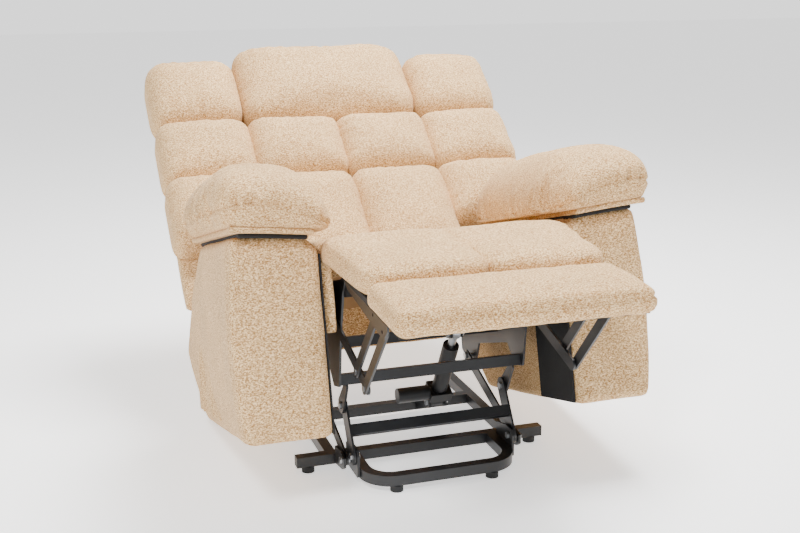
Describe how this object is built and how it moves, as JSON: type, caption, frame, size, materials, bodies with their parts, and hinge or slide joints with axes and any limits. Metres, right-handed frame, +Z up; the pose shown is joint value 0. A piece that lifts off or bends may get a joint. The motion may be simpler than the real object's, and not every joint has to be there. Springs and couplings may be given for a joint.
{
  "type": "power lift recliner armchair",
  "caption": "Upholstered power lift recliner: tufted back, pillow arms and padded footrest on a black steel lift base, shown reclined.",
  "frame": {"origin": "on the floor, under the middle of the reclined chair's bounding box", "axes": "+Z up, front of the chair towards -Y, +X to the right seen from the front"},
  "size_m": [0.99, 1.5985, 0.8918],
  "materials": {
    "fabric": "woven chenille",
    "black_cloth": "plain black lining cloth",
    "wood": "raw plywood and pine",
    "steel": "black powder coat",
    "rubber": "moulded",
    "plastic": "moulded black",
    "motor_plastic": "moulded dark grey",
    "zinc": "zinc plated"
  },
  "bodies": {
    "base": {"base_cross_bar": "steel", "base_side_tubes": "steel", "base_rear_tube": "steel", "base_loop_tube": "steel", "base_end_caps": "plastic", "base_feet": "rubber", "base_inner_ears": "steel", "base_outer_ears": "steel", "base_pivot_bolts": "zinc", "actuator_base_bracket": "steel"},
    "lift_link": {"front_lift_links": "steel", "link_cross_tube": "steel"},
    "rear_link": {"rear_lift_links": "steel"},
    "actuator": {"actuator_gearbox": "plastic", "actuator_motor": "motor_plastic", "actuator_tube": "plastic"},
    "actuator_rod": {"actuator_rod": "zinc"},
    "chair": {"side_plates": "steel", "upper_front_tube": "steel", "upper_rear_tube": "steel", "chair_link_hangers": "steel", "actuator_clevis": "steel", "chair_pivot_bolts": "zinc", "frame_brackets": "steel", "seat_side_rails": "black_cloth", "seat_front_panel": "black_cloth", "seat_front_flaps": "fabric", "seat_rear_rail": "wood", "seat_springs": "zinc", "seat_cushion": "fabric", "seat_nose": "fabric", "arm_box_left": "fabric", "arm_box_right": "fabric", "arm_pad_left": "fabric", "arm_pad_right": "fabric", "arm_strips": "black_cloth", "arm_boards": "fabric", "arm_inner_panels": "black_cloth", "rear_panel": "fabric", "side_pocket": "fabric", "side_tag": "black_cloth", "back_hinge_plates": "steel", "back_hinge_pins": "zinc"},
    "back": {"back_brackets": "steel", "back_frame": "wood", "back_shell": "fabric", "lumbar_cushion": "fabric", "shoulder_cushion": "fabric", "headrest_cushion": "fabric", "headrest_wings": "fabric"},
    "footrest": {"footrest_board": "black_cloth", "footrest_pad": "fabric", "footrest_roll": "fabric", "footrest_hangers": "steel", "footrest_pins": "zinc"},
    "footrest_main_link": {"footrest_main_links": "steel", "footrest_link_rivets": "zinc"},
    "footrest_front_link": {"footrest_front_links": "steel"},
    "footrest_second_link": {"footrest_second_links": "steel"}
  },
  "joints": [
    {"name": "lift", "type": "hinge", "parent": "base", "child": "lift_link", "pos_m": [0, -0.2788, 0.063], "axis": [1, 0, 0], "range_deg": [0, 45]},
    {"name": "chair_tilt", "type": "hinge", "parent": "lift_link", "child": "chair", "pos_m": [0, -0.2098, 0.162], "axis": [1, 0, 0], "range_deg": [-9.1, 0.1]},
    {"name": "rear_link_swing", "type": "hinge", "parent": "base", "child": "rear_link", "pos_m": [0, -0.2638, 0.05], "axis": [1, 0, 0], "range_deg": [-0.1, 39.4]},
    {"name": "actuator_swing", "type": "hinge", "parent": "base", "child": "actuator", "pos_m": [0.095, -0.0308, 0.07], "axis": [1, 0, 0], "range_deg": [-0.1, 21.8]},
    {"name": "actuator_stroke", "type": "slide", "parent": "actuator", "child": "actuator_rod", "axis": [0, -0.494, 0.8695], "range_m": [-0.001, 0.141]},
    {"name": "back_recline", "type": "hinge", "parent": "chair", "child": "back", "pos_m": [0, 0.23364, 0.41478], "axis": [1, 0, 0], "range_deg": [0, 25]},
    {"name": "footrest_fold", "type": "hinge", "parent": "chair", "child": "footrest", "pos_m": [0, -0.35819, 0.56334], "axis": [1, 0, 0], "range_deg": [0, 72]},
    {"name": "main_link_swing", "type": "hinge", "parent": "chair", "child": "footrest_main_link", "pos_m": [0, -0.21375, 0.39564], "axis": [1, 0, 0], "range_deg": [-0.1, 72.1]},
    {"name": "front_link_swing", "type": "hinge", "parent": "footrest_main_link", "child": "footrest_front_link", "pos_m": [0, -0.5101, 0.3149], "axis": [1, 0, 0], "range_deg": [-72.1, 0.1]},
    {"name": "second_link_swing", "type": "hinge", "parent": "footrest_main_link", "child": "footrest_second_link", "pos_m": [0, -0.45083, 0.33105], "axis": [1, 0, 0], "range_deg": [-72.1, 0.1]}
  ],
  "couplings": [
    {"joint": "chair_tilt", "follows": "lift", "ratio": -0.2},
    {"joint": "rear_link_swing", "follows": "lift", "ratio": 0.87111},
    {"joint": "actuator_swing", "follows": "lift", "ratio": 0.48},
    {"joint": "actuator_stroke", "follows": "lift", "m_per_rad": 0.17698},
    {"joint": "main_link_swing", "follows": "footrest_fold", "ratio": 1},
    {"joint": "front_link_swing", "follows": "footrest_fold", "ratio": -1},
    {"joint": "second_link_swing", "follows": "footrest_fold", "ratio": -1}
  ]
}
